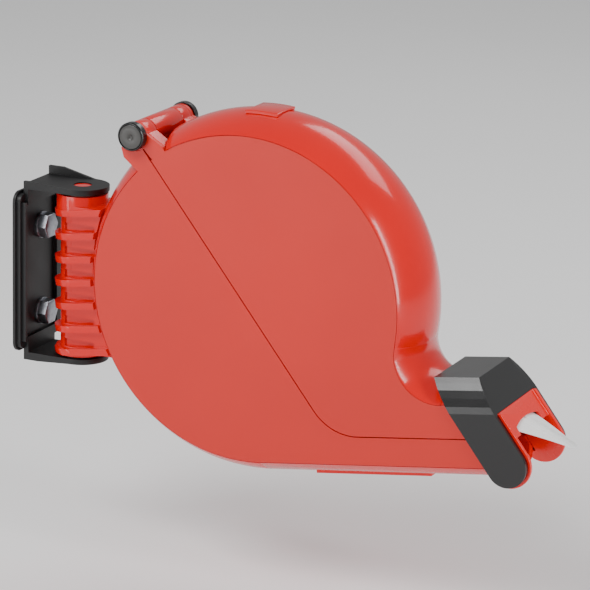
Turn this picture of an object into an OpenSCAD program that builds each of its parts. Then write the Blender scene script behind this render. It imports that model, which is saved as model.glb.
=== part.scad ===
// Wall-mounted take-a-number ticket dispenser: a snail-shaped hinged case that
// swivels on a wall bracket, with a ticket roll inside and a mouth at the front.
// Millimetres, +Z up, +X out from the wall, origin on the wall face of the bracket.
// The case is drawn level around its own drum centre and then pitched nose-up.

/* [Case] */
// Radius of the flat round side of the drum
drum_r = 90; // [80:100]
// Half width of the case
case_hw = 28; // [24:32]
// How far the rounded rim stands out beyond the flat side
rim_bulge = 9.8; // [6:0.2:11]
// Wall thickness of the case mouldings
wall = 2.5; // [2:0.1:3.5]
// Nose-up pitch of the case on the bracket, degrees
pitch = 8; // [0:12]
// Width of the line where lid and base meet
split_gap = 0.5; // [0.3:0.1:1]
// Radius of the bend in the split line
split_r = 28; // [20:34]
// Height of the level part of the split line
split_z = -74.2; // [-78:0.1:-70]
// Radius of the hollow curve between drum and nose
throat_r = 24; // [20:30]
// How far the nose reaches in under the mouth cover
nose_in = 3.5; // [2:0.5:5]

/* [Bracket] */
// Distance of the drum centre from the wall
drum_x = 145; // [140:150]
// Height of the drum centre above the bracket centre
drum_z = 6; // [0:10]
// Distance of the swivel axis from the wall
axis_x = 32; // [28:36]
// Half height of the wall plate
plate_hz = 46; // [40:52]
// Half width of the wall plate
plate_hw = 25; // [22:28]
// How far the wall plate is set over from the swivel axis
plate_y = 3; // [0:4]
// Thickness of the wall plate
plate_t = 4; // [3:6]
// Thickness of the two ears
ear_t = 3; // [2.5:0.5:4]
// Radius of the rounded ends of the ears
ear_r = 15; // [13:18]
// Distance between the two wall bolts
bolt_pitch = 50; // [40:60]
// Height of the middle of the two wall bolts
bolt_mid = -2; // [-6:6]
// Length of the bolt shanks behind the wall face
stud_out = 9; // [8:24]
// Radius of the swivel stubs
stub_r = 5; // [4:0.5:6]

/* [Ribs] */
// Radius of the ribs where they wrap round the swivel barrel
rib_r = 15.2; // [14:0.1:17]
// Radius of the barrel between the ribs
barrel_r = 12; // [10:13]
// Thickness of one rib
rib_t = 3.7; // [3:0.1:5]
// Distance between ribs
rib_pitch = 13.3; // [12:0.1:14]
// Height of the lowest rib
rib_low = -43.2; // [-45:0.1:-40]

/* [Hinge] */
// Distance of the lid hinge axis from the drum centre
hinge_d = 105.8; // [104:0.1:110]
// Angle of the lid hinge round the drum, degrees
hinge_a = 120.6; // [118:0.1:124]
// Outer radius of the hinge knuckles
knuckle_r = 7.1; // [6:0.1:8]
// Radius of the hinge pin
pin_r = 2.5; // [2:0.1:3]
// Half length of the middle knuckle
mid_hl = 15.2; // [12:0.1:18]

/* [Tickets] */
// Radius of the full ticket roll
roll_r = 80; // [60:82]
// Half width of the ticket strip
strip_hw = 15; // [12:16]
// Thickness of the ticket strip
paper_t = 0.3; // [0.2:0.1:0.4]
// Bore radius of the roll core
core_r = 10; // [8:14]
// Radius of the guide roller
guide_r = 5; // [4:6]
// Slope of the leaving ticket below the case's level, degrees
exit_a = 30; // [20:40]

/* [Hidden] */
$fn = 96;

red = [0.80, 0.09, 0.03];
side_red = [0.80, 0.25, 0.18];
dark_red = [0.55, 0.10, 0.09];
black = [0.05, 0.05, 0.055];
steel = [0.62, 0.62, 0.64];
white = [0.93, 0.93, 0.92];
card = [0.62, 0.50, 0.36];

// The rim's outer surface is an arc through both edges of the flat sides.
rim_arc = (case_hw * case_hw + rim_bulge * rim_bulge) / (2 * rim_bulge);
rim_c = rim_bulge - rim_arc;
hinge_x = hinge_d * cos(hinge_a);
hinge_z = hinge_d * sin(hinge_a);
hinge_end = case_hw + 0.5;

// The split line runs from the hinge through the drum centre, bends, and runs level.
split_n = [cos(hinge_a - 90), sin(hinge_a - 90)];
split_d = [-cos(hinge_a), -sin(hinge_a)];
bend = [(split_r - split_n[1] * (split_z + split_r)) / split_n[0], split_z + split_r];

// Radius about the lid's hinge that the lid's nose keeps inside as it opens.
sweep_r = 244.2;

// The hollow throat curve touches the drum's circle and the top of the nose.
throat_z = -56.2 + throat_r;
throat_x = sqrt(pow(drum_r + throat_r, 2) - throat_z * throat_z);
touch_a = atan2(throat_z, throat_x);

// The mouth's front plane leans back; its foot is a half round of radius mouth_r.
mouth_n = [cos(exit_a), sin(exit_a)];
mouth_top = [130.5, -43.5];
mouth_r = 11;
mouth_c = [144, -88.8];
mouth_hw = 29.8;

// The ticket leaves over the guide roller along a sloping line.
exit_p = [146, -71.4];
guide_x = 127.5;
guide_z = ((exit_p[0] * mouth_n[1] + exit_p[1] * mouth_n[0]) - guide_r - 0.5
           - guide_x * mouth_n[1]) / mouth_n[0];

// ---- helpers ------------------------------------------------------------

// Draws a shape given as (x, z) and extrudes it across the case from y0 to y1.
module across(y0, y1) {
  translate([0, y1, 0]) rotate([90, 0, 0]) linear_extrude(y1 - y0) children();
}

// Places case parts, drawn level round the drum centre, on the bracket.
module in_case() {
  translate([drum_x, 0, drum_z]) rotate([0, -pitch, 0]) children();
}

// Turns a profile given as (radius, y) about an axis lying along Y.
module turned(a0, a1) {
  rotate([90, 0, 0]) rotate([0, 0, a0]) rotate_extrude(angle = a1 - a0)
    children();
}

// Side-view area of the lid; rho grows or shrinks it square to the split line.
module lid_area(rho) {
  p = [bend[0] - rho * split_n[0], bend[1] - rho * split_n[1]];
  polygon([p, [p[0] - 200 * split_d[0], p[1] - 200 * split_d[1]], [320, 220],
           [320, bend[1] - rho], [bend[0], bend[1] - rho], bend]);
  translate(bend) circle(rho, $fn = 180);
}

module base_cut() { across(-60, 60) lid_area(split_r + split_gap); }

// Side view of everything in front of the nose's leaning end, moved back by g.
module nose_front(g) {
  translate(mouth_c) rotate(exit_a) translate([-mouth_r + nose_in - g, -60])
    square([90, 140]);
}

// Side view of what lies further than r from the lid's hinge.
module beyond_sweep(r) {
  difference() {
    translate([60, -140]) square([140, 160]);
    translate([hinge_x, hinge_z]) circle(r, $fn = 240);
  }
}

// Side view of the whole flat side, inset by g from the drum, throat and nose lines.
module side_area(g) {
  circle(drum_r - g, $fn = 180);
  difference() {
    polygon([[0, -drum_r + g], [150, -drum_r + g], [150, throat_z - throat_r - g],
             [throat_x, throat_z - throat_r - g], [throat_x, throat_z], [0, 0]]);
    translate([throat_x, throat_z]) circle(throat_r + g, $fn = 120);
    nose_front(0);
  }
}

// Rim section as (radius, y), standing out from radius r0 along direction d (1 or -1):
// an outer and an inner arc, and a ledge behind each side panel.
module rim_section(r0, d) {
  c = r0 + d * rim_c;
  inner_hw = case_hw - wall - 0.1;
  difference() {
    intersection() {
      translate([c, 0]) circle(rim_arc, $fn = 240);
      translate([r0 + (d > 0 ? 0.1 : -20.1), -case_hw]) square([20, 2 * case_hw]);
    }
    intersection() {
      translate([c, 0]) circle(rim_arc - wall, $fn = 240);
      translate([r0 - 30, -inner_hw]) square([60, 2 * inner_hw]);
    }
  }
  for (s = [-1, 1]) translate([r0 + (d > 0 ? -3.5 : -0.6), s * (inner_hw - 1.2) - 1.2])
    square([4.1, 2.4]);
}

// Rim turned round the drum between two side-view angles.
module drum_rim(a0, a1) {
  turned(a0, a1) rim_section(drum_r, 1);
}

// The throat's rim: the same section facing the throat's centre.
module throat_rim() {
  translate([throat_x, 0, throat_z]) turned(180 + touch_a, 270) rim_section(throat_r, -1);
}

// Straight rim along X, standing out upward (d = 1) or downward (d = -1) from z0.
module straight_rim(x0, x1, z0, d) {
  translate([x0, 0, z0 - d * drum_r]) rotate([90, 0, 90]) linear_extrude(x1 - x0)
    rotate(d * 90) rim_section(drum_r, 1);
}

// Screw places of the base half and the lid half, as (x, z).
post_d = 84.8;
base_posts = [[post_d * cos(196), post_d * sin(196)], [post_d * cos(245), post_d * sin(245)],
              [70, -84.6]];
lid_posts = [[post_d * cos(76), post_d * sin(76)], [post_d * cos(14), post_d * sin(14)],
             [100, -60.6]];

module posts(list, r, y0, y1) {
  for (p = list) translate([p[0], 0, p[1]]) across(y0, y1) circle(r, $fn = 40);
}

// ---- bracket ------------------------------------------------------------

// Rounded wall plate outline as (y, z).
module plate_outline(hw, hz, r) {
  square([2 * hw - 2 * r, 2 * hz], center = true);
  square([2 * hw, 2 * hz - 2 * r], center = true);
  for (i = [-1, 1], j = [-1, 1]) translate([i * (hw - r), j * (hz - r)]) circle(r);
}

module plate(x0, x1, hw, hz, r) {
  translate([x0, 0, 0]) rotate([90, 0, 90]) linear_extrude(x1 - x0)
    plate_outline(hw, hz, r);
}

module ear_outline(r, hw) {
  translate([axis_x, 0]) circle(r);
  translate([plate_t - 1, -hw]) square([axis_x - plate_t + 1, 2 * hw]);
}

module ear() {
  difference() {
    union() {
      translate([0, 0, plate_hz + 1]) linear_extrude(ear_t) ear_outline(ear_r, ear_r);
      // Upturned flanges along both long edges, the far one taller.
      for (s = [-1, 1]) across(s * (ear_r - 1) - 1, s * (ear_r - 1) + 1) {
        h = s > 0 ? 4.6 : 1.4;
        polygon([[plate_t - 1, plate_hz + 2], [axis_x, plate_hz + 2],
                 [axis_x, plate_hz + 1 + ear_t], [plate_t + 8, plate_hz + 1 + ear_t + h],
                 [plate_t - 1, plate_hz + 1 + ear_t + h]]);
      }
    }
    translate([axis_x, 0, plate_hz - 5]) cylinder(r = stub_r + 0.08, h = 20);
  }
  // Root that joins the ear to the wall plate.
  translate([plate_t - 1, -ear_r, plate_hz - 8]) cube([3, 2 * ear_r, 10]);
}

module wall_bracket() {
  color(black) difference() {
    union() {
      translate([0, plate_y, 0]) {
        plate(0, 1.6, plate_hw, plate_hz, 6);
        plate(1.6, plate_t, plate_hw - 1.6, plate_hz - 1.6, 4.4);
      }
      ear();
      mirror([0, 0, 1]) ear();
      // Upright stiffening ribs on the plate between the ears.
      for (s = [-1, 1]) translate([plate_t - 1, s * 17.6 - 1, -plate_hz + 6])
        cube([3.4, 2, 2 * plate_hz - 12]);
    }
    for (s = [-1, 1]) translate([-1, plate_y, bolt_mid + s * bolt_pitch / 2]) rotate([0, 90, 0])
      cylinder(r = 4.4, h = 10);
  }
}

module at_bolts() {
  for (s = [-1, 1]) translate([plate_t, plate_y, bolt_mid + s * bolt_pitch / 2])
    rotate([0, 90, 0]) children();
}

module wall_bolts() {
  color(steel) at_bolts() {
    translate([0, 0, 1.6]) rotate(30) cylinder(r = 7.5, h = 5.3, $fn = 6);
    // Plain neck through the plate, then the full shank behind it.
    translate([0, 0, -plate_t - 0.4]) cylinder(r = 3.4, h = plate_t + 2.2, $fn = 64);
    translate([0, 0, -plate_t - stud_out]) cylinder(r = 4, h = stud_out - 0.4, $fn = 64);
  }
}

module wall_washers() {
  color(steel) at_bolts() difference() {
    cylinder(r = 7.6, h = 1.6);
    translate([0, 0, -1]) cylinder(r = 4.2, h = 4, $fn = 64);
  }
}

// ---- swivel barrel ------------------------------------------------------

module rib_outline() {
  circle(rib_r);
  translate([0, -rib_r]) square([34, 2 * rib_r]);
}

// Space taken by the drum's rim, so that the barrel's ribs end against it.
module drum_space() {
  in_case() across(-60, 60) circle(drum_r + rim_bulge + 0.02, $fn = 240);
}

module swivel_barrel() {
  top = plate_hz + 1;
  color(red) difference() {
    union() {
      difference() {
        union() {
          intersection() {
            for (i = [0:6]) translate([axis_x, 0, rib_low + i * rib_pitch])
              rotate([0, -pitch, 0]) translate([0, 0, -rib_t / 2]) linear_extrude(rib_t)
                rib_outline();
            translate([0, -20, -top + 1.25]) cube([100, 40, 2 * top - 2.5]);
          }
          // Straight-sided web behind the barrel, set in from the ribs.
          translate([axis_x, -barrel_r, rib_low]) cube([34, 2 * barrel_r, 6 * rib_pitch]);
          translate([axis_x, -rib_r + 0.8, rib_low + 6 * rib_pitch])
            cube([26, 2 * rib_r - 1.6, 4]);
        }
        drum_space();
      }
      translate([axis_x, 0, rib_low]) cylinder(r = barrel_r, h = 6 * rib_pitch);
      translate([axis_x, 0, rib_low + 6 * rib_pitch])
        cylinder(r = rib_r - 0.8, h = top - 1.2 - rib_low - 6 * rib_pitch);
      translate([axis_x, 0, -top + 1.2]) cylinder(r = rib_r - 0.8, h = 4);
      translate([axis_x, 0, -top - 2.4]) cylinder(r = stub_r, h = 2 * top + 4.8);
    }
    // Windows in the lower half of each bay, open to the hollow bore.
    for (i = [0:5]) translate([axis_x - 5, -barrel_r - 1, rib_low + i * rib_pitch + 2.3])
      cube([19, 3.4, 4.6]);
    for (i = [0:5]) translate([axis_x - 5, barrel_r - 2.4, rib_low + i * rib_pitch + 2.3])
      cube([19, 3.4, 4.6]);
  }
}

module thrust_washers() {
  color(white) for (s = [0, 1]) mirror([0, 0, s]) translate([axis_x, 0, plate_hz])
    difference() {
      translate([0, 0, -0.1]) cylinder(r = 9, h = 0.75);
      translate([0, 0, -1]) cylinder(r = stub_r + 0.3, h = 3);
    }
}

// ---- base half of the case ----------------------------------------------

module base_shell() {
  color(red) in_case() difference() {
    union() {
      drum_rim(127, 270);
      // Neck and middle knuckle of the lid hinge.
      across(-mid_hl, mid_hl) difference() {
        polygon([[-60, 70], [-65, 78], [hinge_x - knuckle_r + 0.3, hinge_z - 1],
                 [hinge_x + 1, hinge_z - 1], [-49.8, 80], [-47.2, 76]]);
        circle(drum_r - 3.5, $fn = 180);
      }
      translate([hinge_x, 0, hinge_z]) across(-mid_hl, mid_hl) circle(knuckle_r);
      posts([base_posts[0], base_posts[1]], 3.2, -case_hw + wall + 0.1, case_hw - wall - 0.1);
    }
    base_cut_hinge();
    translate([hinge_x, 0, hinge_z]) across(-20, 20) circle(pin_r + 0.02);
    posts([base_posts[0], base_posts[1]], 1.5, -20, 40);
  }
}

// The base's rim continued along the underside of the nose.
module base_nose() {
  color(red) in_case() difference() {
    union() {
      difference() {
        straight_rim(0, 140, -drum_r, -1);
        across(-60, 60) nose_front(0);
      }
      // Shallow skid under the case that ends in a small step.
      translate([24, -9, -drum_r - rim_bulge - 0.9]) cube([68, 18, 2]);
      posts([base_posts[2]], 3.2, -case_hw + wall + 0.1, case_hw - wall - 0.1);
    }
    posts([base_posts[2]], 1.5, -20, 40);
  }
}

// The lid's area with its gap, spared round the middle knuckle so the knuckle stays whole.
module base_cut_hinge() {
  difference() {
    base_cut();
    translate([hinge_x, 0, hinge_z]) across(-mid_hl, mid_hl) circle(knuckle_r + 0.6);
  }
}

// Flat side panel of the base, with the neck that cradles the hinge knob.
module base_side(y0) {
  difference() {
    union() {
      across(y0, y0 + wall) side_area(0.15);
      across(y0, y0 + wall)
        polygon([[-54.5, 71.5], [-62, 79.5], [-62.8, 85], [-50, 85], [-46, 76], [-44, 70]]);
    }
    base_cut();
    translate([hinge_x, 0, hinge_z]) across(-40, 40) circle(8.5);
  }
}

module base_side_near() {
  color(side_red) in_case() base_side(-case_hw);
}

module base_side_far() {
  color(side_red) in_case() difference() {
    union() {
      base_side(case_hw - wall);
      across(case_hw - wall, case_hw) circle(9);
    }
    posts(base_posts, 1.7, 0, 40);
    posts(base_posts, 3.4, case_hw - 1.4, 40);
    across(0, 40) circle(2.2, $fn = 40);
    translate([0, case_hw - 1.6, 0]) across(0, 3) circle(4.8, $fn = 40);
  }
}

module screws(list) {
  for (p = list) translate([p[0], 0, p[1]]) {
    across(case_hw - 1.4, case_hw - 0.2) difference() {
      circle(3.1, $fn = 40);
      square([4, 0.8], center = true);
      square([0.8, 4], center = true);
    }
    across(case_hw - 14, case_hw - 1.4) circle(1.45, $fn = 32);
  }
}

module base_screws() {
  color(steel) in_case() screws(base_posts);
}

// ---- roll support -------------------------------------------------------

module roll_spindle() {
  color(black) in_case() difference() {
    union() {
      across(-strip_hw - 4, case_hw - wall - 0.05) circle(core_r - 0.08);
      across(strip_hw + 1.2, strip_hw + 3.2) circle(24);
      across(strip_hw + 3.2, case_hw - wall - 0.05) circle(13);
    }
    across(-20, -8) circle(6.5);
    across(0, 40) circle(1.5, $fn = 32);
  }
}

module spindle_screw() {
  color(steel) in_case() {
    across(case_hw - 1.6, case_hw - 0.2) difference() {
      circle(4.4, $fn = 40);
      square([6, 1], center = true);
      square([1, 6], center = true);
    }
    across(case_hw - 14, case_hw - 1.6) circle(1.45, $fn = 32);
  }
}

// Leaf spring, bent in plan, that drags lightly on the far face of the roll.
module roll_brake() {
  y = case_hw - wall - 0.05;
  color(steel) in_case() translate([0, 0, -7]) linear_extrude(11)
    polygon([[-64, y], [-64, y - 0.8], [-50.4, y - 0.8], [-36.4, 16.2], [-34, 15.5],
             [-31.6, 16.2], [-29, 18.4], [-29.6, 19], [-32, 17], [-34, 16.3],
             [-35.9, 16.9], [-49.9, y]]);
}

module guide_axle() {
  color(steel) in_case() translate([guide_x, 0, guide_z])
    across(-24.6, 24.6) circle(1.5, $fn = 48);
}

module guide_roller() {
  color(black) in_case() translate([guide_x, 0, guide_z]) difference() {
    across(-strip_hw - 1, strip_hw + 1) circle(guide_r);
    across(-20, 20) circle(1.58, $fn = 48);
  }
}

module ticket_roll() {
  color(white) in_case() across(-strip_hw, strip_hw) difference() {
    circle(roll_r, $fn = 180);
    circle(core_r + 2.5);
  }
}

module roll_core() {
  color(card) in_case() across(-strip_hw - 0.3, strip_hw + 0.3) difference() {
    circle(core_r + 2.45);
    circle(core_r);
  }
}

// Strip from the bottom of the roll, up over the guide roller and down to the mouth.
strip_r1 = roll_r + 0.8;
strip_r2 = guide_r + 0.5;
strip_len = sqrt(guide_x * guide_x + guide_z * guide_z);
strip_up = atan2(guide_z, guide_x) + asin((strip_r1 + strip_r2) / strip_len);

module paper_strip() {
  at = [guide_x, guide_z];
  over = strip_up + exit_a;
  // Upper and lower edge of the strip, each from the roll to the mouth.
  function edge(t) = concat(
    [for (i = [0:12]) let (a = strip_up - 126 + 3 * i)
      [(strip_r1 - t) * cos(a), (strip_r1 - t) * sin(a)]],
    [for (i = [0:12]) let (a = 90 + strip_up - over * i / 12)
      [at[0] + (strip_r2 + t) * cos(a), at[1] + (strip_r2 + t) * sin(a)]],
    [[at[0] + (strip_r2 + t) * cos(90 - exit_a) + 4.4 * cos(exit_a),
      at[1] + (strip_r2 + t) * sin(90 - exit_a) - 4.4 * sin(exit_a)]]);
  up = edge(paper_t);
  low = edge(0);
  color(white) in_case() across(-strip_hw, strip_hw)
    polygon(concat(low, [for (i = [len(up) - 1:-1:0]) up[i]]));
}

// ---- mouth --------------------------------------------------------------

// Side view of the mouth: front plane, round foot, back edge; grown by g.
module mouth_band(g, z_top) {
  f = [mouth_top[0] + g * mouth_n[0], mouth_top[1] + g * mouth_n[1]];
  r = mouth_r + g;
  intersection() {
    union() {
      translate(mouth_c) circle(r);
      translate(mouth_c) rotate(exit_a) translate([-r, 0]) square([2 * r, 90]);
    }
    translate([60, -140]) square([160, 140 + z_top]);
  }
}

module mouth_insert() {
  color(red) in_case() {
    // Cheeks between the cover's edge strips, standing a little proud of them and kept
    // clear of the lid's nose as it opens.
    for (s = [-1, 1]) across(s * 24.8 - 1.15, s * 24.8 + 1.15) intersection() {
      mouth_band(1.4, -60.8);
      union() {
        nose_front(-0.4);
        translate([60, -140]) square([160, 45]);
      }
      union() {
        beyond_sweep(sweep_r);
        translate([60, -140]) square([160, 140 + split_z - 0.6]);
      }
    }
    // Front plate, flush with the cover, with a shallow arch over the ticket.
    difference() {
      across(-24, 24) intersection() {
        mouth_band(0, -60.8);
        translate(mouth_c) rotate(exit_a) translate([mouth_r - 1.5, 0]) square([10, 60]);
        translate([100, -74.6]) square([80, 30]);
      }
      translate([0, 0, -128.8]) rotate([90, 0, 90]) linear_extrude(300) intersection() {
        circle(60, $fn = 240);
        translate([-15.5, 0]) square([31, 70]);
      }
    }
    // Arms that run back into the base and hold the guide roller's axle.
    for (s = [-1, 1]) across(s * 24.4 - 0.75, s * 24.4 + 0.75) difference() {
      polygon([[121, -85.5], [139, -85.5], [137.5, -76], [131, -62.6], [124, -62.6],
               [121, -70]]);
      translate([guide_x, guide_z]) circle(1.52, $fn = 48);
    }
  }
}

// Thin bar under the ticket, against which it tears.
module tear_bar() {
  color(dark_red) in_case() translate([exit_p[0], 0, exit_p[1]]) rotate([0, exit_a, 0])
    across(-23.6, 23.6) polygon([[-9, -2.4], [-9, -4.6], [-3.2, -4.6], [-1.2, -2.4]]);
}

// Crowned card that stands out of the mouth, tapering to a round tip.
module ticket() {
  arc = 57;
  color(white) in_case() translate([exit_p[0], 0, exit_p[1]]) rotate([0, exit_a, 0])
    intersection() {
      translate([-20, 0, -arc + 1]) rotate([0, 90, 0]) difference() {
        cylinder(r = arc, h = 70, $fn = 240);
        translate([0, 0, -1]) cylinder(r = arc - paper_t, h = 80, $fn = 240);
      }
      translate([0, 0, -6]) linear_extrude(12) {
        polygon([[-13, -strip_hw + 0.2], [1, -strip_hw + 0.2], [25.4, -4.2], [25.4, 4.2],
                 [1, strip_hw - 0.2], [-13, strip_hw - 0.2]]);
        translate([25, 0]) circle(4.6, $fn = 48);
      }
    }
}

// Black cover over the end of the nose, carried by the lid.
module mouth_cover() {
  color(black) in_case() difference() {
    intersection() {
      across(-mouth_hw, mouth_hw) mouth_band(0, -42.5);
      cover_section(0);
    }
    // Room for the nose between the sides, open behind and below.
    intersection() {
      across(-case_hw - 0.2, case_hw + 0.2) cover_room();
      cover_section(1.6);
    }
    across(-case_hw - 0.2, case_hw + 0.2) intersection() {
      cover_room();
      translate([60, -140]) square([160, 84.2]);
    }
    // Open front for the insert, between the two edge strips.
    across(-26.1, 26.1) translate([60, -140]) square([160, 79.5]);
  }
}

// Side view of the space inside the cover.
module cover_room() {
  intersection() {
    union() {
      mouth_band(-2.3, -44.9);
      translate(mouth_c) rotate(exit_a) translate([-60, -90]) square([57, 180]);
    }
    translate([60, -140]) square([160, 140 - 44.9]);
  }
}

// End view of the cover, closing in toward its flat top; inset by g.
module cover_section(g) {
  side = [[mouth_hw, -120], [mouth_hw, -60], [mouth_hw - 0.6, -56.4], [mouth_hw - 2, -52.2],
          [mouth_hw - 4, -48.4], [mouth_hw - 6.3, -45], [mouth_hw - 8.4, -42.5]];
  translate([60, 0, 0]) rotate([90, 0, 90]) linear_extrude(140)
    polygon([for (p = side) [p[0] - g, p[1]],
             for (i = [6:-1:0]) [g - side[i][0], side[i][1]]]);
}

// Two blind clips that hold the cover to the lid's nose.
module cover_clips() {
  color(black) in_case() for (s = [-1, 1]) across(s * 24 - 1.5, s * 24 + 1.5)
    translate([104, -70]) square([7, 5]);
}

// ---- lid ----------------------------------------------------------------

module lid_shell() {
  color(red) in_case() difference() {
    union() {
      drum_rim(touch_a, 113.7);
      posts([lid_posts[0], lid_posts[1]], 3.2, -case_hw + wall + 0.4, case_hw - wall - 0.4);
    }
    posts([lid_posts[0], lid_posts[1]], 1.5, -20, 40);
  }
}

// Raised pad on the crest of the lid for a clip-on sign.
module sign_pad() {
  color(red) in_case() turned(76, 87) difference() {
    translate([drum_r + rim_bulge - 2, -11]) square([2.8, 22]);
    translate([drum_r + rim_c, 0]) circle(rim_arc + 0.05, $fn = 240);
  }
}

// Two hinge arms, one each side of the base's knuckle, rooted inside the side panels.
module lid_arms() {
  color(red) in_case() for (s = [0, 1]) mirror([0, s, 0]) difference() {
    union() {
      translate([hinge_x, 0, hinge_z]) across(mid_hl + 0.4, case_hw - wall - 0.05)
        circle(knuckle_r);
      across(mid_hl + 0.4, case_hw - wall - 0.05) arm_area();
    }
    translate([hinge_x, 0, hinge_z]) across(0, 40) circle(pin_r + 0.06, $fn = 64);
  }
}

// The lid's rim continued round the throat.
module lid_nose() {
  color(red) in_case() difference() {
    union() {
      throat_rim();
      posts([lid_posts[2]], 3.2, -case_hw + wall + 0.4, case_hw - wall - 0.4);
    }
    posts([lid_posts[2]], 1.5, -20, 40);
  }
}

// Straight end of the lid's rim, inside the mouth cover.
module lid_tip() {
  color(red) in_case() difference() {
    straight_rim(throat_x + 0.05, 125, throat_z - throat_r, 1);
    across(-60, 60) nose_front(0);
  }
}

module lid_side(y0) {
  difference() {
    union() {
      across(y0, y0 + wall) intersection() {
        side_area(0.15);
        lid_area(split_r);
      }
      across(y0, y0 + wall) arm_area();
      translate([hinge_x, 0, hinge_z]) across(y0, y0 + wall) circle(knuckle_r);
    }
    across(-40, 40) beyond_sweep(sweep_r - 0.6);
    translate([hinge_x, 0, hinge_z]) across(-40, 40) circle(pin_r + 0.06, $fn = 64);
  }
}

// Side view of the neck between the lid's side and its hinge knuckle.
module arm_area() {
  polygon([[-49.7, 84.2], [hinge_x + 3, hinge_z + 4], [-43.5, hinge_z - 2],
           [-38, 84.4], [-35.1, 78.4], [-41.6, 74.4], [-46.4, 79.4]]);
}

module lid_side_near() {
  color(side_red) in_case() lid_side(-case_hw);
}

module lid_side_far() {
  color(side_red) in_case() difference() {
    lid_side(case_hw - wall);
    across(0, 40) circle(9.5);
    posts(lid_posts, 1.7, 0, 40);
    posts(lid_posts, 3.4, case_hw - 1.4, 40);
  }
}

module lid_screws() {
  color(steel) in_case() screws(lid_posts);
}

module hinge_pin() {
  color(steel) in_case() translate([hinge_x, 0, hinge_z])
    across(-hinge_end - 3, hinge_end + 3) circle(pin_r, $fn = 64);
}

module hinge_caps() {
  color(black) in_case() for (s = [0, 1]) mirror([0, s, 0])
    translate([hinge_x, 0, hinge_z]) difference() {
      across(-hinge_end - 4.6, -hinge_end) circle(7.9, $fn = 96);
      across(-hinge_end - 3.05, -hinge_end + 1) circle(pin_r + 0.01, $fn = 64);
      across(-hinge_end - 6, -hinge_end - 4) circle(1.2, $fn = 32);
      across(-hinge_end - 6, -hinge_end - 4.2) difference() {
        circle(7.2, $fn = 96);
        circle(6.8, $fn = 96);
      }
    }
}

wall_bracket();
wall_bolts();
wall_washers();
thrust_washers();
swivel_barrel();
base_shell();
base_nose();
base_side_near();
base_side_far();
base_screws();
roll_spindle();
spindle_screw();
roll_brake();
guide_axle();
mouth_insert();
tear_bar();
paper_strip();
hinge_pin();
hinge_caps();
lid_shell();
lid_arms();
sign_pad();
lid_nose();
lid_tip();
lid_side_near();
lid_side_far();
lid_screws();
mouth_cover();
cover_clips();
roll_core();
ticket_roll();
guide_roller();
ticket();
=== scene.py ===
"""Builds the looks of a wall-mounted take-a-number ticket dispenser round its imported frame."""

import math

import bmesh
import bpy
from mathutils import Matrix, Vector


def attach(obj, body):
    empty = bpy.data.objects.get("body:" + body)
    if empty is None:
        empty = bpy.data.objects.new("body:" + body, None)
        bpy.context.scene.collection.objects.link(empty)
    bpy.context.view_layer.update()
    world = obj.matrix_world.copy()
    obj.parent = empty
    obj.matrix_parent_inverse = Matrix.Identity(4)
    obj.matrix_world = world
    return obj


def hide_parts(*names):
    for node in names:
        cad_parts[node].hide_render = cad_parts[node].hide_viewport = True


bl_info = {
    "name": "Ticket Dispenser Builder",
    "version": (1, 0, 0),
    "blender": (4, 5, 0),
    "location": "View3D > Sidebar > Dispenser",
    "description": "Finishes a wall-mounted ticket dispenser and sets its studio stage",
    "category": "Object",
}

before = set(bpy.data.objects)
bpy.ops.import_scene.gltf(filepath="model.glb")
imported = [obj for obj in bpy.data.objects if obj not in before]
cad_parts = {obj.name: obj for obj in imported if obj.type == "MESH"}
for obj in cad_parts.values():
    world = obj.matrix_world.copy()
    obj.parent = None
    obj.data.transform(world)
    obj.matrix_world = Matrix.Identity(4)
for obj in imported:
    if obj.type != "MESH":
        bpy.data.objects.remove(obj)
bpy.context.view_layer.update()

MM = 0.001
PITCH = math.radians(8)  # the case points this far up from level
CASE_TURN = Matrix.Translation((0.145, 0, 0.006)) @ Matrix.Rotation(-PITCH, 4, "Y")
CASE_HW = 28.0  # half the case's width, mm
HINGE = (-53.9, 91.1)  # hinge axis in the case's own side view, mm
EDGE_ANGLE = math.radians(32)  # an edge sharper than this is rounded

# Hinge cap, as (radius, height from the case's side) in mm
CAP_STEPS = 72
CAP_GAP = 0.5  # between the case's side and the cap
CAP_H = 4.5
CAP_BORE = 2.6
CAP_BODY = ((CAP_BORE, 0), (7.9, 0), (7.9, 3.6), (7.3, CAP_H), (6.9, CAP_H), (6.7, 4.0),
            (CAP_BORE, 3.9))
CAP_DISC = ((0.001, 3.35), (0.9, 3.4), (1.5, 4.2), (2.2, CAP_H), (6.2, CAP_H), (6.5, 4.25),
            (6.5, 3.2), (0.001, 3.2))

# Wall bolts, mm
BOLT_Y = 3  # the bolts sit this far beyond the swivel axis
BOLT_Z = -2.0  # middle of the pair
BOLT_SPREAD = 25.0  # each bolt's distance from the middle
HEAD_R = 7.5
HEAD_H = 5.3
HEAD_X = 8.25  # middle of the head, out from the wall
THREAD_X = -8.6  # middle of the shank's tapered tip
THREAD_R = 3.95
ROOT_R = 3.45
TIP_R = 3.2
TIP_H = 0.8
THREAD_TURNS = 12
HALF_THREAD = 0.46
NECK_H = 1.6

# Camera: place in metres, then turn about the vertical, tilt from straight down and roll
CAMERA_AT = (0.8452, -1.4659, 0.4627)
CAMERA_TURN = math.radians(24.9571)
CAMERA_TILT = math.radians(74.1927)
CAMERA_ROLL = math.radians(1.3572)
LIGHT_AIM = Vector((0.15, 0, 0))


# ---- mesh helpers -------------------------------------------------------


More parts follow.
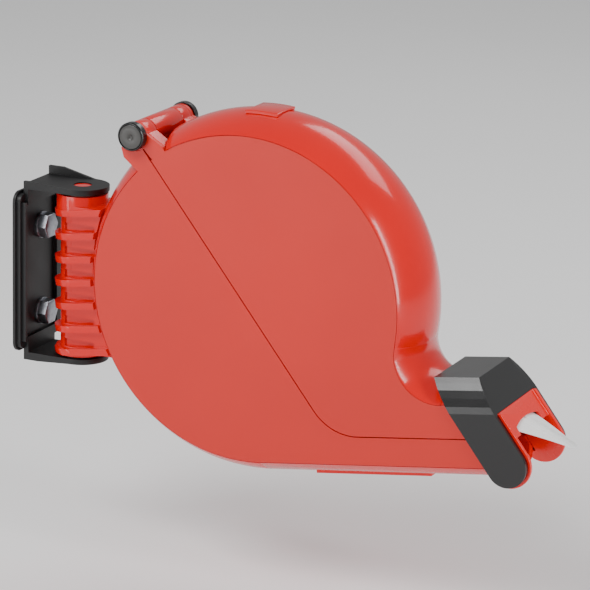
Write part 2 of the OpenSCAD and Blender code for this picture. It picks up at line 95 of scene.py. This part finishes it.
def put(bm, name, body, material, smooth=35, bevel=0.0, segments=3, replaces=(), local=True):
    """Makes a piece of a bmesh drawn in millimetres, in the case's own frame if it is local."""
    if local:
        bmesh.ops.transform(bm, matrix=CASE_TURN @ Matrix.Scale(MM, 4), verts=bm.verts)
    else:
        bmesh.ops.transform(bm, matrix=Matrix.Scale(MM, 4), verts=bm.verts)
    bmesh.ops.recalc_face_normals(bm, faces=bm.faces)
    mesh = bpy.data.meshes.new(name)
    bm.to_mesh(mesh)
    bm.free()
    obj = bpy.data.objects.new(name, mesh)
    bpy.context.scene.collection.objects.link(obj)
    mesh.materials.append(material)
    for p in mesh.polygons:
        p.use_smooth = True
    mesh.set_sharp_from_angle(angle=math.radians(smooth))
    if bevel:
        soften(obj, bevel, segments)
    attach(obj, body)
    if replaces:
        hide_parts(*replaces)
    return obj


def soften(obj, width, segments=3):
    """Rounds an object's edges with a live bevel of so many millimetres."""
    mod = obj.modifiers.new("edge_round", "BEVEL")
    mod.width = width * MM
    mod.segments = segments
    mod.limit_method = "ANGLE"
    mod.angle_limit = EDGE_ANGLE
    mod.use_clamp_overlap = True
    mod.harden_normals = False
    return mod


def turn(profile, centre, steps):
    """Spins a closed profile of (radius, y) all the way about an axis along Y through (x, z)."""
    bm = bmesh.new()
    verts = [bm.verts.new((centre[0] + r, y, centre[1])) for r, y in profile]
    edges = [bm.edges.new(pair) for pair in zip(verts, verts[1:] + verts[:1])]
    bmesh.ops.spin(bm, geom=verts + edges, cent=(centre[0], 0, centre[1]), axis=(0, -1, 0),
                   angle=2 * math.pi, steps=steps, use_merge=True, use_duplicate=False)
    bmesh.ops.remove_doubles(bm, verts=bm.verts, dist=1e-4)
    return bm


def join(*parts):
    """One bmesh out of several."""
    whole = bmesh.new()
    for bm in parts:
        mesh = bpy.data.meshes.new("part")
        bm.to_mesh(mesh)
        bm.free()
        whole.from_mesh(mesh)
        bpy.data.meshes.remove(mesh)
    return whole


# ---- materials ----------------------------------------------------------


class Finish:
    """A procedural material with Object coordinates, built up node by node."""

    def __init__(self, name, **sockets):
        self.mat = bpy.data.materials.new(name)
        self.mat.use_nodes = True
        self.tree = self.mat.node_tree
        self.shader = self.tree.nodes["Principled BSDF"]
        self.coords = self.add("ShaderNodeTexCoord").outputs["Object"]
        for key, value in sockets.items():
            self.shader.inputs[key.replace("_", " ")].default_value = value

    def add(self, kind, **values):
        node = self.tree.nodes.new(kind)
        for key, value in values.items():
            if key in node.inputs:
                node.inputs[key].default_value = value
            else:
                setattr(node, key, value)
        return node

    def link(self, a, b):
        self.tree.links.new(a, b)

    def noise(self, scale, detail=4.0, stretch=(1, 1, 1), rough=0.55):
        at = self.add("ShaderNodeMapping")
        at.inputs["Scale"].default_value = stretch
        self.link(self.coords, at.inputs["Vector"])
        tex = self.add("ShaderNodeTexNoise", Scale=scale, Detail=detail, Roughness=rough)
        self.link(at.outputs["Vector"], tex.inputs["Vector"])
        return tex.outputs["Fac"]

    def ramp(self, fac, stops):
        node = self.add("ShaderNodeValToRGB")
        while len(node.color_ramp.elements) < len(stops):
            node.color_ramp.elements.new(0.5)
        for el, (pos, colour) in zip(node.color_ramp.elements, stops):
            el.position = pos
            el.color = (*colour[:3], 1)
        self.link(fac, node.inputs["Fac"])
        return node.outputs["Color"]

    def spread(self, fac, low, high):
        node = self.add("ShaderNodeMapRange")
        node.inputs["To Min"].default_value = low
        node.inputs["To Max"].default_value = high
        self.link(fac, node.inputs["Value"])
        return node.outputs["Result"]

    def colour(self, socket):
        self.link(socket, self.shader.inputs["Base Color"])

    def rough(self, fac, low, high):
        self.link(self.spread(fac, low, high), self.shader.inputs["Roughness"])

    def bump(self, *layers):
        """Layers of (height socket, strength, distance in mm)."""
        normal = None
        for fac, strength, dist in layers:
            node = self.add("ShaderNodeBump", Strength=strength, Distance=dist * MM)
            self.link(fac, node.inputs["Height"])
            if normal:
                self.link(normal, node.inputs["Normal"])
            normal = node.outputs["Normal"]
        self.link(normal, self.shader.inputs["Normal"])


def shade(colour, k):
    return tuple(min(1.0, c * k) for c in colour[:3])


def plastic(name, colour, low, high, grain=0.0, grain_scale=2600, vary=0.06, **sockets):
    """Moulded plastic: mottled colour, uneven gloss, slight sink waves and a fine grain."""
    f = Finish(name, **sockets)
    broad = f.noise(9.0, 3.0)
    fine = f.noise(grain_scale, 2.0)
    f.colour(f.ramp(broad, [(0.3, shade(colour, 1 - vary)), (0.7, shade(colour, 1 + vary))]))
    f.rough(f.noise(60.0, 5.0), low, high)
    layers = [(f.noise(26.0, 2.0), 0.06, 0.6)]
    if grain:
        layers.append((fine, grain, 0.05))
    f.bump(*layers)
    return f.mat


MATS = {}


def make_materials(p):
    MATS["case_red"] = plastic("glossy red", p.case_colour, 0.14, 0.24, vary=0.05,
                               Specular_IOR_Level=0.35, Coat_Weight=0.3,
                               Coat_Roughness=0.06)
    MATS["side_red"] = plastic("satin red", p.side_colour, 0.36, 0.5, grain=0.22,
                               vary=0.05, Specular_IOR_Level=0.45, Coat_Weight=0.1,
                               Coat_Roughness=0.3)
    MATS["insert_red"] = plastic("orange red", p.insert_colour, 0.2, 0.32, vary=0.05,
                                 Coat_Weight=0.3, Coat_Roughness=0.12)
    MATS["dark_red"] = plastic("dark red", p.bar_colour, 0.4, 0.55, grain=0.2, vary=0.1)
    MATS["black"] = plastic("powder black", p.black_colour, 0.42, 0.58, grain=0.35,
                            grain_scale=1900, vary=0.15)
    MATS["black_satin"] = plastic("satin black", p.black_colour, 0.18, 0.3, grain=0.1,
                                  vary=0.12, Coat_Weight=0.2, Coat_Roughness=0.15)
    MATS["cap_grey"] = plastic("brushed grey cap", p.cap_colour, 0.3, 0.45, grain=0.2,
                               vary=0.08)
    steel = Finish("bright zinc", Metallic=1.0)
    blot = steel.noise(420.0, 4.0)
    steel.colour(steel.ramp(blot, [(0.35, (0.24, 0.25, 0.28)), (0.7, (0.36, 0.37, 0.40))]))
    steel.rough(steel.noise(900.0, 4.0, (1, 1, 0.1)), 0.22, 0.42)
    steel.bump((steel.noise(1400.0, 3.0, (1, 1, 0.08)), 0.12, 0.05))
    MATS["steel"] = steel.mat
    nylon = Finish("white nylon", Roughness=0.5, Subsurface_Weight=0.2)
    nylon.shader.inputs["Subsurface Radius"].default_value = (0.002, 0.002, 0.002)
    cloud = nylon.noise(120.0)
    nylon.colour(nylon.ramp(cloud, [(0.3, (0.8, 0.8, 0.77)), (0.7, (0.88, 0.88, 0.85))]))
    nylon.bump((nylon.noise(900.0), 0.1, 0.05))
    MATS["nylon"] = nylon.mat
    paper = Finish("ticket paper", Roughness=0.8)
    fibre = paper.noise(1500.0, 6.0, (1, 0.35, 1))
    paper.colour(paper.ramp(fibre, [(0.3, (0.83, 0.83, 0.82)), (0.75, (0.93, 0.93, 0.92))]))
    paper.bump((fibre, 0.25, 0.06), (paper.noise(180.0), 0.1, 0.1))
    MATS["paper"] = paper.mat
    card = Finish("core board", Roughness=0.85)
    flake = card.noise(800.0, 6.0)
    card.colour(card.ramp(flake, [(0.3, (0.28, 0.19, 0.11)), (0.7, (0.42, 0.31, 0.2))]))
    card.bump((flake, 0.3, 0.08))
    MATS["card"] = card.mat


CAD_FINISH = {
    "wall_bracket": ("black", 0.35), "wall_bolts": ("steel", 0.35), "wall_washers": ("steel", 0.2),
    "thrust_washers": ("nylon", 0), "swivel_barrel": ("case_red", 0.3),
    "base_shell": ("case_red", 0.3), "base_nose": ("case_red", 0.3),
    "base_side_near": ("side_red", 0.3), "base_side_far": ("side_red", 0.3),
    "base_screws": ("steel", 0.15), "roll_spindle": ("black_satin", 0.3),
    "spindle_screw": ("steel", 0.15), "roll_brake": ("steel", 0), "guide_axle": ("steel", 0.2),
    "mouth_insert": ("insert_red", 0.35), "tear_bar": ("dark_red", 0.2),
    "paper_strip": ("paper", 0), "hinge_pin": ("steel", 0.3), "hinge_caps": ("cap_grey", 0.3),
    "lid_shell": ("case_red", 0.3), "lid_arms": ("case_red", 0.5), "sign_pad": ("case_red", 0.4),
    "lid_nose": ("case_red", 0.3), "lid_tip": ("case_red", 0.3),
    "lid_side_near": ("side_red", 0.3),
    "lid_side_far": ("side_red", 0.3), "lid_screws": ("steel", 0.15),
    "mouth_cover": ("black_satin", 0.6), "cover_clips": ("black_satin", 0.2),
    "roll_core": ("card", 0.2), "ticket_roll": ("paper", 0.2), "guide_roller": ("black", 0.3),
    "ticket": ("paper", 0),
}


def dress(nodes, scale):
    """Gives CAD nodes their finish and rounds their edges."""
    for name in nodes:
        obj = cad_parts[name]
        kind, width = CAD_FINISH[name]
        obj.data.materials.clear()
        obj.data.materials.append(MATS[kind])
        weld = obj.modifiers.new("weld", "WELD")
        weld.merge_threshold = 0.004 * MM
        if width:
            soften(obj, width * scale, 3)


# ---- pieces -------------------------------------------------------------


def hinge_caps():
    """Black cap bodies with a grey disc let into each face, at both ends of the pin."""
    for side, tag in ((-1, "near"), (1, "far")):
        y = side * (CASE_HW + CAP_GAP)
        body, disc = ([(r, y + side * h) for r, h in shape] for shape in (CAP_BODY, CAP_DISC))
        put(turn(body, HINGE, CAP_STEPS), f"hinge_cap_{tag}", "base", MATS["black_satin"],
            bevel=0.2, replaces=("hinge_caps",))
        put(turn(disc, HINGE, CAP_STEPS), f"hinge_cap_disc_{tag}", "base", MATS["cap_grey"],
            smooth=50)


def along_x(bm, x, z):
    """Lays a bmesh drawn along Z out along X, at the bolts' y."""
    bmesh.ops.transform(bm, matrix=Matrix.Translation((x, BOLT_Y, z))
                        @ Matrix.Rotation(math.radians(90), 4, "Y"), verts=bm.verts)
    return bm


def hex_head():
    """Hexagon head with a rounded outer rim."""
    head = bmesh.new()
    bmesh.ops.create_cone(head, cap_ends=True, segments=6, radius1=HEAD_R, radius2=HEAD_R,
                          depth=HEAD_H)
    top = [e for e in head.edges if all(v.co.z > 0 for v in e.verts)]
    bmesh.ops.bevel(head, geom=top, offset=0.7, segments=2, profile=0.5, affect="EDGES",
                    material=-1)
    return head


def grow(bm, end, lift, scale=1.0):
    """Extrudes an end face outwards, scales it, and returns the new end face."""
    out = bmesh.ops.extrude_face_region(bm, geom=end)
    bmesh.ops.delete(bm, geom=end, context="FACES_ONLY")
    verts = [g for g in out["geom"] if isinstance(g, bmesh.types.BMVert)]
    bmesh.ops.translate(bm, vec=(0, 0, lift), verts=verts)
    bmesh.ops.scale(bm, vec=(scale, scale, 1), verts=verts)
    return [g for g in out["geom"] if isinstance(g, bmesh.types.BMFace)]


def threaded_shank():
    """Shank with a tapered tip and a ridge for each turn of its thread."""
    shank = bmesh.new()
    bmesh.ops.create_cone(shank, cap_ends=True, segments=40, radius1=TIP_R, radius2=THREAD_R,
                          depth=TIP_H)
    end = [f for f in shank.faces if all(v.co.z > 0.3 for v in f.verts)]
    for _ in range(THREAD_TURNS):
        end = grow(shank, end, HALF_THREAD, ROOT_R / THREAD_R)
        end = grow(shank, end, HALF_THREAD, THREAD_R / ROOT_R)
    grow(shank, end, NECK_H)
    return shank


def hex_bolts():
    """Two bolts, one above the other."""
    parts = []
    for dz in (-BOLT_SPREAD, BOLT_SPREAD):
        z = BOLT_Z + dz
        parts += [along_x(hex_head(), HEAD_X, z), along_x(threaded_shank(), THREAD_X, z)]
    put(join(*parts), "hex_bolts", "bracket", MATS["steel"], smooth=28, bevel=0.15,
        segments=2, replaces=("wall_bolts",), local=False)


# ---- settings, operators and panel --------------------------------------


def tint(name, text, value):
    return bpy.props.FloatVectorProperty(name=name, description=text, subtype="COLOR", size=3,
                                         min=0, max=1, default=value)


class DispenserFinish(bpy.types.PropertyGroup):
    """Colours and edge sizes a user would change."""

    case_colour: tint("Rim Red", "Glossy rim, nose and barrel", (0.72, 0.0015, 0.0006))
    side_colour: tint("Side Red", "Satin flat sides", (0.62, 0.012, 0.005))
    insert_colour: tint("Insert Red", "Insert in the mouth", (0.82, 0.006, 0.001))
    bar_colour: tint("Bar Red", "Bar under the ticket", (0.25, 0.015, 0.012))
    black_colour: tint("Black", "Bracket and mouth cover", (0.004, 0.004, 0.0045))
    cap_colour: tint("Cap Grey", "Discs on the hinge knobs", (0.06, 0.058, 0.055))
    edge_scale: bpy.props.FloatProperty(
        name="Edge Rounding", description="Scales the rounding of every moulded edge",
        default=1.0, min=0.2, max=2.0, subtype="FACTOR")


class DispenserStage(bpy.types.PropertyGroup):
    """Floor, light and camera."""

    lens: bpy.props.FloatProperty(name="Lens", description="Focal length in millimetres",
                                  default=190.0, min=20, max=400)
    key_power: bpy.props.FloatProperty(name="Key Light", description="Power of the key light",
                                       default=24.0, min=0, unit="POWER")
    strip_power: bpy.props.FloatProperty(
        name="Strip Light", description="Power of the narrow light on the right",
        default=14.0, min=0, unit="POWER")
    low_power: bpy.props.FloatProperty(
        name="Low Light", description="Power of the low light that grazes the flat side",
        default=3.2, min=0, unit="POWER")
    back_power: bpy.props.FloatProperty(
        name="Back Light", description="Power of the light behind", default=7.0, min=0,
        unit="POWER")
    sky: bpy.props.FloatProperty(name="Sky", description="Strength of the pale surroundings",
                                 default=0.45, min=0, max=5)
    floor_z: bpy.props.FloatProperty(name="Floor Height", description="Height of the floor",
                                     default=-0.16, unit="LENGTH")


class DISPENSER_OT_finishes(bpy.types.Operator):
    """Make the procedural materials"""

    bl_idname = "dispenser.finishes"
    bl_label = "Make Finishes"

    def execute(self, context):
        make_materials(context.scene.dispenser_finish)
        return {"FINISHED"}


class DISPENSER_OT_bracket(bpy.types.Operator):
    """Finish the wall bracket, its bolts and the swivel barrel"""

    bl_idname = "dispenser.bracket"
    bl_label = "Bracket and Barrel"

    def execute(self, context):
        dress(("wall_bracket", "wall_bolts", "wall_washers", "thrust_washers",
               "swivel_barrel"), context.scene.dispenser_finish.edge_scale)
        hex_bolts()
        return {"FINISHED"}


class DISPENSER_OT_case(bpy.types.Operator):
    """Finish the base and the lid of the case"""

    bl_idname = "dispenser.case"
    bl_label = "Case"

    def execute(self, context):
        dress(("base_shell", "base_nose", "base_side_near", "base_side_far", "base_screws",
               "lid_shell", "lid_arms", "sign_pad", "lid_nose", "lid_tip", "lid_side_near",
               "lid_side_far", "lid_screws"), context.scene.dispenser_finish.edge_scale)
        return {"FINISHED"}


class DISPENSER_OT_hinge(bpy.types.Operator):
    """Finish the hinge pin and build its end caps"""

    bl_idname = "dispenser.hinge"
    bl_label = "Hinge"

    def execute(self, context):
        dress(("hinge_pin", "hinge_caps"), context.scene.dispenser_finish.edge_scale)
        hinge_caps()
        return {"FINISHED"}


class DISPENSER_OT_mouth(bpy.types.Operator):
    """Finish the mouth: cover, insert, tear bar and guide roller"""

    bl_idname = "dispenser.mouth"
    bl_label = "Mouth"

    def execute(self, context):
        dress(("mouth_cover", "cover_clips", "mouth_insert", "tear_bar", "guide_axle",
               "guide_roller"), context.scene.dispenser_finish.edge_scale)
        return {"FINISHED"}


class DISPENSER_OT_roll(bpy.types.Operator):
    """Finish the ticket roll, its spindle and brake, the strip and the ticket"""

    bl_idname = "dispenser.roll"
    bl_label = "Roll and Ticket"

    def execute(self, context):
        dress(("roll_spindle", "spindle_screw", "roll_brake", "roll_core", "ticket_roll",
               "paper_strip", "ticket"), context.scene.dispenser_finish.edge_scale)
        return {"FINISHED"}


class DISPENSER_OT_stage(bpy.types.Operator):
    """Set the pale floor, the soft studio lights and the camera"""

    bl_idname = "dispenser.stage"
    bl_label = "Studio Stage"

    def execute(self, context):
        stage(context.scene, context.scene.dispenser_stage)
        return {"FINISHED"}


def stage(scene, p):
    """Flat pale floor, even surroundings, soft lights and the camera."""
    bm = bmesh.new()
    bmesh.ops.create_grid(bm, x_segments=1, y_segments=1, size=6)
    bmesh.ops.translate(bm, vec=(0, 0, p.floor_z), verts=bm.verts)
    mesh = bpy.data.meshes.new("floor")
    bm.to_mesh(mesh)
    bm.free()
    floor = bpy.data.objects.new("floor", mesh)
    scene.collection.objects.link(floor)
    pale = Finish("pale floor", Roughness=0.9)
    cloud = pale.noise(3.0)
    pale.colour(pale.ramp(cloud, [(0.3, (0.93, 0.93, 0.93)), (0.7, (0.95, 0.95, 0.95))]))
    mesh.materials.append(pale.mat)

    world = bpy.data.worlds.new("studio")
    world.use_nodes = True
    scene.world = world
    back = world.node_tree.nodes["Background"]
    back.inputs["Color"].default_value = (1, 1, 1, 1)
    back.inputs["Strength"].default_value = p.sky

    for name, place, width, height, power in (
            ("key", (-0.35, -1.1, 1.45), 1.1, 0.7, p.key_power),
            ("strip", (1.7, -0.35, 0.45), 0.22, 1.3, p.strip_power),
            ("low", (-0.55, -1.15, 0.06), 0.8, 0.26, p.low_power),
            ("back", (0.5, 1.1, 1.1), 1.2, 0.5, p.back_power)):
        data = bpy.data.lights.new(name, "AREA")
        data.shape = "RECTANGLE"
        data.size = width
        data.size_y = height
        data.energy = power
        light = bpy.data.objects.new(name, data)
        scene.collection.objects.link(light)
        aim = LIGHT_AIM - Vector(place)
        light.matrix_world = (Matrix.Translation(place)
                              @ aim.to_track_quat("-Z", "Y").to_matrix().to_4x4())

    data = bpy.data.cameras.new("camera")
    data.lens = p.lens
    data.sensor_width = 36
    data.clip_start = 0.05
    camera = bpy.data.objects.new("camera", data)
    scene.collection.objects.link(camera)
    camera.matrix_world = (Matrix.Translation(CAMERA_AT)
                           @ Matrix.Rotation(CAMERA_TURN, 4, "Z")
                           @ Matrix.Rotation(CAMERA_TILT, 4, "X")
                           @ Matrix.Rotation(CAMERA_ROLL, 4, "Z"))
    scene.camera = camera


STEPS = (DISPENSER_OT_finishes, DISPENSER_OT_bracket, DISPENSER_OT_case, DISPENSER_OT_hinge,
         DISPENSER_OT_mouth, DISPENSER_OT_roll, DISPENSER_OT_stage)


class DISPENSER_PT_panel(bpy.types.Panel):
    """Lists the build steps and their settings"""

    bl_idname = "DISPENSER_PT_panel"
    bl_label = "Ticket Dispenser"
    bl_space_type = "VIEW_3D"
    bl_region_type = "UI"
    bl_category = "Dispenser"

    def draw(self, context):
        for step in STEPS:
            self.layout.operator(step.bl_idname)
        for group in (context.scene.dispenser_finish, context.scene.dispenser_stage):
            box = self.layout.box()
            for name in group.__annotations__:
                box.prop(group, name)


CLASSES = (DispenserFinish, DispenserStage, *STEPS, DISPENSER_PT_panel)


def register():
    for cls in CLASSES:
        bpy.utils.register_class(cls)
    bpy.types.Scene.dispenser_finish = bpy.props.PointerProperty(type=DispenserFinish)
    bpy.types.Scene.dispenser_stage = bpy.props.PointerProperty(type=DispenserStage)


def unregister():
    del bpy.types.Scene.dispenser_finish
    del bpy.types.Scene.dispenser_stage
    for cls in reversed(CLASSES):
        bpy.utils.unregister_class(cls)


def main():
    register()
    bpy.ops.dispenser.finishes()
    bpy.ops.dispenser.bracket()
    bpy.ops.dispenser.case()
    bpy.ops.dispenser.hinge()
    bpy.ops.dispenser.mouth()
    bpy.ops.dispenser.roll()
    bpy.ops.dispenser.stage()
    bpy.context.view_layer.update()


if __name__ == "__main__":
    main()
